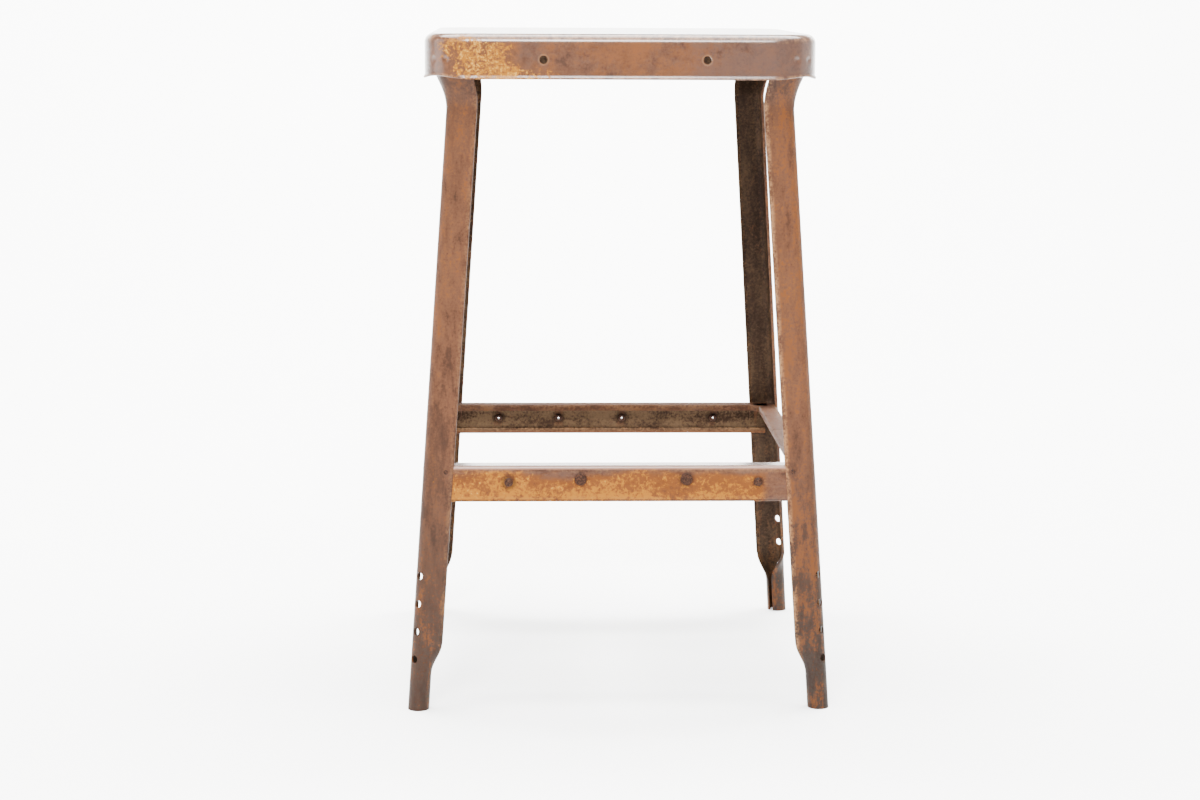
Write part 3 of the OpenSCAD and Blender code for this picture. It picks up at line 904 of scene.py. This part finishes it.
even = (1.0, 1.0, 1.0)
upright = (1.0, 1.0, 0.28)
level_x = (0.35, 1.0, 1.0)
level_y = (1.0, 0.35, 1.0)
seat_paint = worn_paint("seat_old_paint", even, seat_rust_and_shade, gloss=0.95, base_rough=0.20, mottle=0.75)
leg_paint = worn_paint("leg_old_paint", upright, leg_rust,
                       gloss=0.12, base_rough=0.34, mottle=0.60, foot=True)
front_paint = worn_paint("front_rail_rusty_paint", level_x, front_rail_rust_and_painted_light,
                         gloss=0.85, base_rough=0.24, mottle=0.8)
rear_paint = worn_paint("rear_rail_old_paint", level_x, rail_rust_and_shade, gloss=0.04, base_rough=0.60, mottle=0.6)
side_paint = worn_paint("side_rail_old_paint", level_y, rail_rust_and_shade, gloss=0.10, base_rough=0.45, mottle=0.6)
iron = rivet_iron()

dress(seat_pan(), seat_paint, "seat_pan")
for end, sy in (("front", -1), ("rear", 1)):
    for hand, sx in (("left", -1), ("right", 1)):
        node = f"leg_{end}_{hand}"
        # the front right leg's lips are painted much paler, a painted highlight on the lit lip bend on top of
        # its wear
        lip_wear_and_highlight = 1.6 if node == "leg_front_right" else 0.5
        dress(leg(node + "_skin", sx, sy, lip_wear_and_highlight), leg_paint, node)

front_cuts = [web_hole(-x, DOME_Z, DOME_PIN_R) for x in DOME_X]
front_cuts += [web_hole(-x, PLUG_Z, PLUG_PIN_R) for x in PLUG_X]
rear_cuts = [web_hole(x, REAR_Z, REAR_PIN_R) for x in REAR_X]
inner_y = web_face(RAIL_TOP) - RAIL_FLANGE_W
slit = [(-SLIT_X + sx * SLIT_W / 2, y, z)
        for z in (RAIL_TOP - RAIL_LIP_H / 2, RAIL_TOP + MM)
        for sx, y in ((-1, inner_y - MM), (1, inner_y - MM), (1, inner_y + SLIT_L), (-1, inner_y + SLIT_L))]
dress(rail("rail_front_skin", 180, front_cuts), front_paint, "rail_front")
dress(rail("rail_rear_skin", 0, rear_cuts), rear_paint, "rail_rear")
dress(rail("rail_left_skin", 90, []), side_paint, "rail_left")
dress(rail("rail_right_skin", -90, [cutter_block(slit)]), side_paint, "rail_right")

for name, node in frame["nodes"].items():
    if "rivets" in name or "plugs" in name:
        for slot in node.material_slots:
            slot.material = iron

# ---------------------------------------------------------------- room, light and camera

CAMERA_PLACE = (-0.09446, -2.39061, 0.64926)
CAMERA_HEADING, CAMERA_PITCH, CAMERA_ROLL = -0.0344, 0.1634, 0.0047
CAMERA_LENS = 74.94
CAMERA_SENSOR = 36.0
CAMERA_REACH = 50.0
WORLD_STRENGTH = 0.6

# each lamp's name, place, target, width and height, and power
LAMPS = (
    ("front_softbox", (-0.4, -3.1, 2.66), (0, 0, 0.5), (1.8, 1.0), 430),
    ("top_softbox", (0.0, -1.5, 3.3), (0, 0, 0.5), (3.0, 2.2), 160),
    ("left_softbox", (-3.0, -0.3, 1.1), (0, 0, 0.4), (1.6, 2.2), 50),
    ("right_softbox", (3.0, 0.2, 1.1), (0, 0, 0.4), (1.6, 2.2), 15),
    ("floor_softbox", (0.0, 0.1, 3.7), (0, 0.1, 0.0), (5.0, 1.6), 640),
    ("back_softbox", (0.0, 1.2, 3.6), (0, 3.2, 1.2), (5.0, 1.5), 1150),
)


def sweep_floor():
    """A pale floor that curves up into a plain backdrop."""
    half_w, near, far, bend, tall = 7.0, -3.4, 3.2, 1.6, 2.4
    line = [(near, 0.0), (0.0, 0.0), (far - bend, 0.0)]
    line += arc(far - bend, bend, bend, 270, 360, 16)[1:]
    line += [(far, tall)]
    columns = 5
    xs = [-half_w + 2 * half_w * i / (columns - 1) for i in range(columns)]
    verts = [Vector((x, y, z)) for y, z in line for x in xs]
    faces = [(r * columns + c, r * columns + c + 1, (r + 1) * columns + c + 1, (r + 1) * columns + c)
             for r in range(len(line) - 1) for c in range(columns - 1)]
    mesh = bpy.data.meshes.new("floor_sweep")
    mesh.from_pydata(verts, [], faces)
    mesh.shade_smooth()
    piece = bpy.data.objects.new("floor_sweep", mesh)
    bpy.context.scene.collection.objects.link(piece)
    mesh.materials.append(floor_paper())


def softbox(name, place, target, size, power):
    """A rectangular white lamp, aimed at a target."""
    lamp = bpy.data.lights.new(name, "AREA")
    lamp.shape = "RECTANGLE"
    lamp.size, lamp.size_y = size
    lamp.energy = power
    piece = bpy.data.objects.new(name, lamp)
    piece.location = place
    piece.rotation_euler = (Vector(target) - Vector(place)).to_track_quat("-Z", "Y").to_euler()
    bpy.context.scene.collection.objects.link(piece)


def camera():
    lens = bpy.data.cameras.new("camera")
    lens.sensor_width = CAMERA_SENSOR
    lens.lens = CAMERA_LENS
    lens.clip_end = CAMERA_REACH
    piece = bpy.data.objects.new("camera", lens)
    turn = Matrix.Rotation(CAMERA_HEADING, 4, "Z") @ Matrix.Rotation(math.pi / 2 - CAMERA_PITCH, 4, "X")
    piece.matrix_world = Matrix.Translation(CAMERA_PLACE) @ turn @ Matrix.Rotation(CAMERA_ROLL, 4, "Z")
    bpy.context.scene.collection.objects.link(piece)
    bpy.context.scene.camera = piece


def world():
    made = bpy.data.worlds.new("plain_white")
    made.use_nodes = True
    back = made.node_tree.nodes["Background"]
    back.inputs["Color"].default_value = (1.0, 1.0, 1.0, 1.0)
    back.inputs["Strength"].default_value = WORLD_STRENGTH
    bpy.context.scene.world = made


sweep_floor()
world()
for lamp_row in LAMPS:
    softbox(*lamp_row)
camera()
